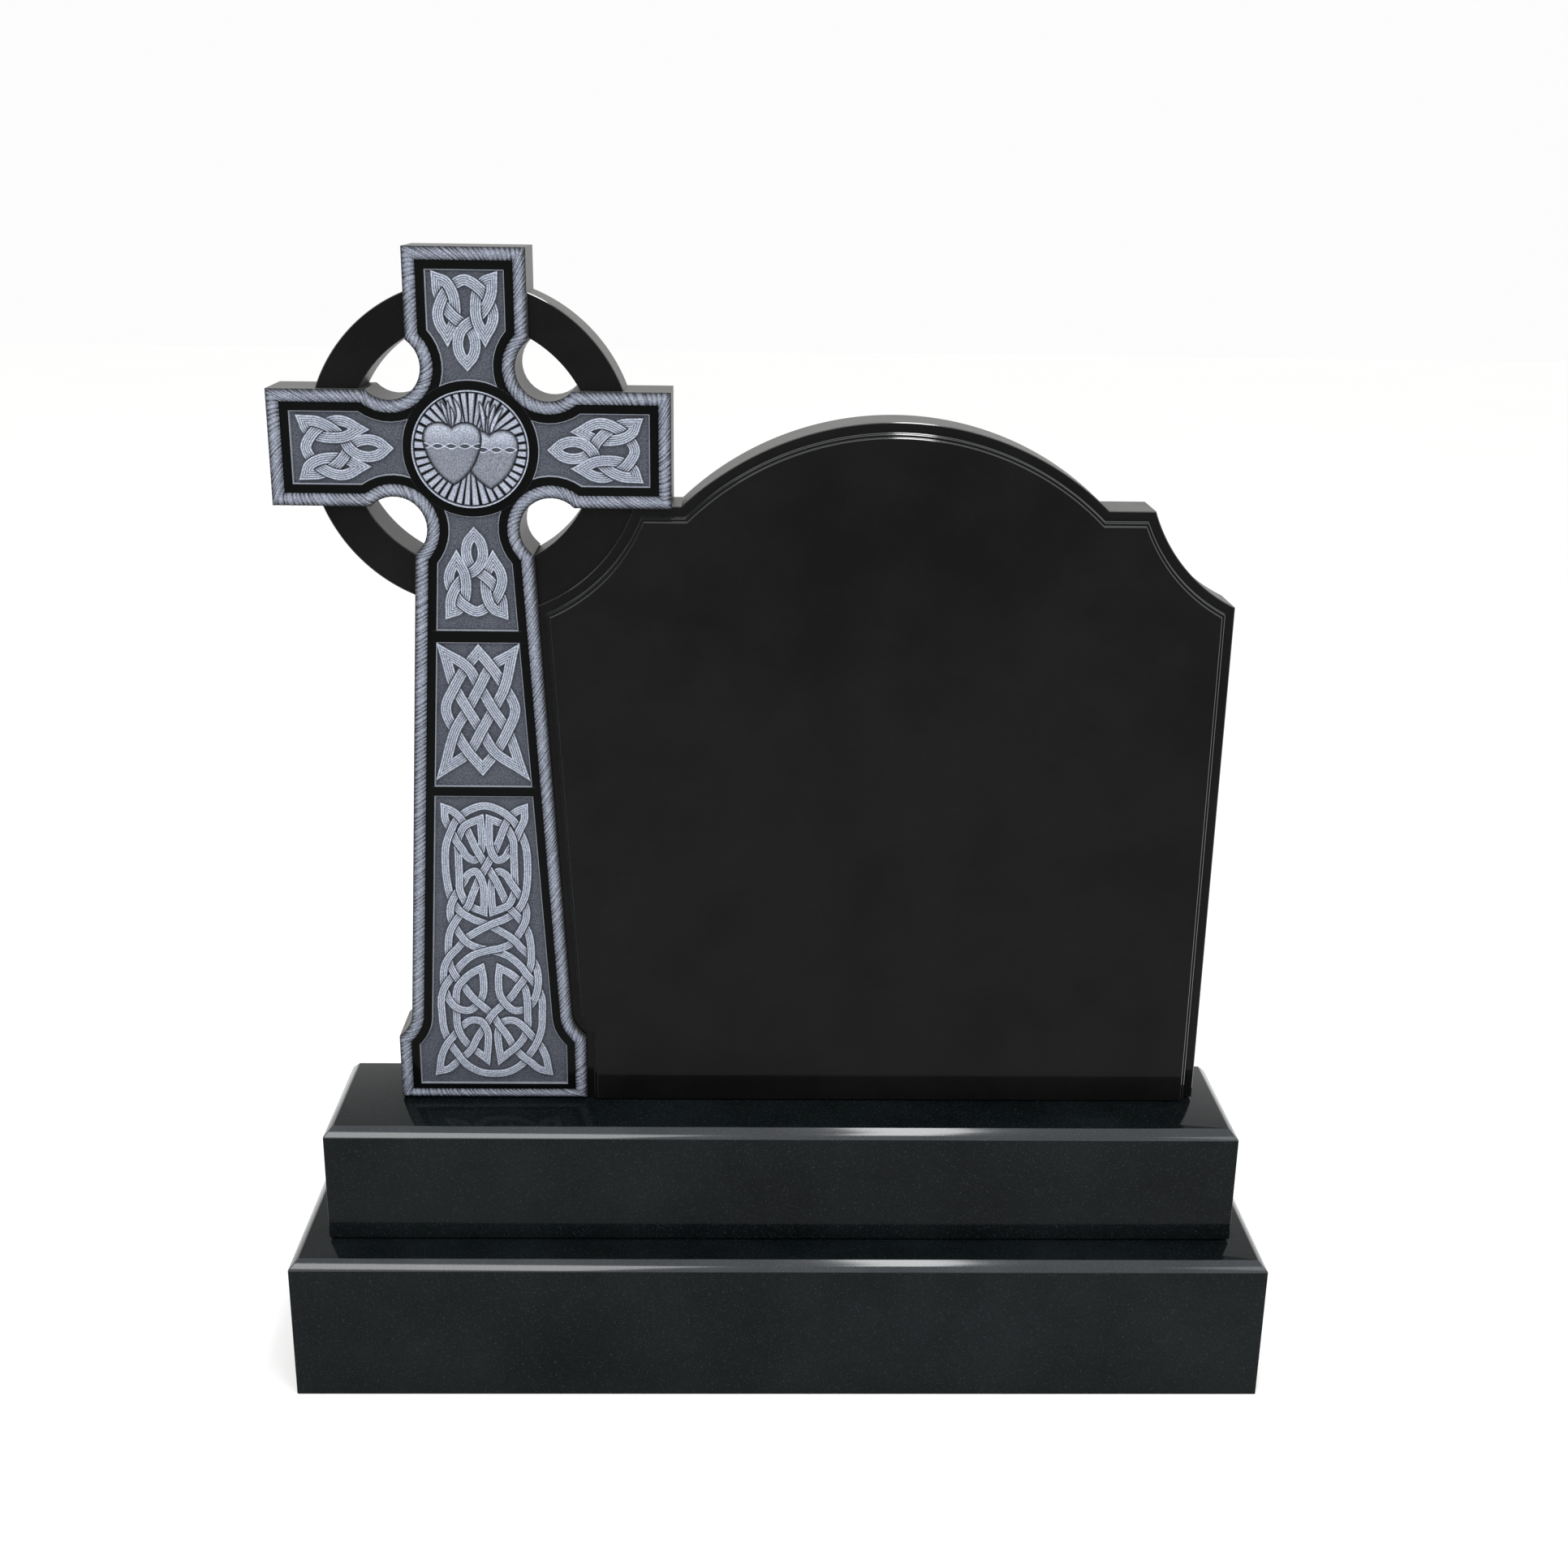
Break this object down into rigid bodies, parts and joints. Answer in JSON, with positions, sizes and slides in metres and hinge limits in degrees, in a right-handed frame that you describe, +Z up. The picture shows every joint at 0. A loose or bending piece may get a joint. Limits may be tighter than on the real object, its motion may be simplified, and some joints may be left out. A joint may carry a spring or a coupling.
{
  "type": "celtic cross headstone",
  "caption": "Upright memorial stone: a ringed cross with woven carving and a heart medallion beside a blank arched tablet, cut from one slab and set on two stepped rectangular bases.",
  "frame": {"origin": "middle of the underside of the lower base", "axes": "+Z up, +X to the right of the carved front, +Y to the back"},
  "size_m": [1.22, 0.305, 1.396],
  "materials": {
    "polished": "polished black granite, with honed and stippled carving",
    "base_polished": "polished dark blue-green granite with a fine speckle",
    "bedding": "dark shaded bedding line"
  },
  "bodies": {
    "root": {"headstone": "polished", "upper_base": "base_polished", "lower_base": "base_polished", "lower_bed": "bedding", "upper_bed": "bedding"}
  },
  "joints": []
}
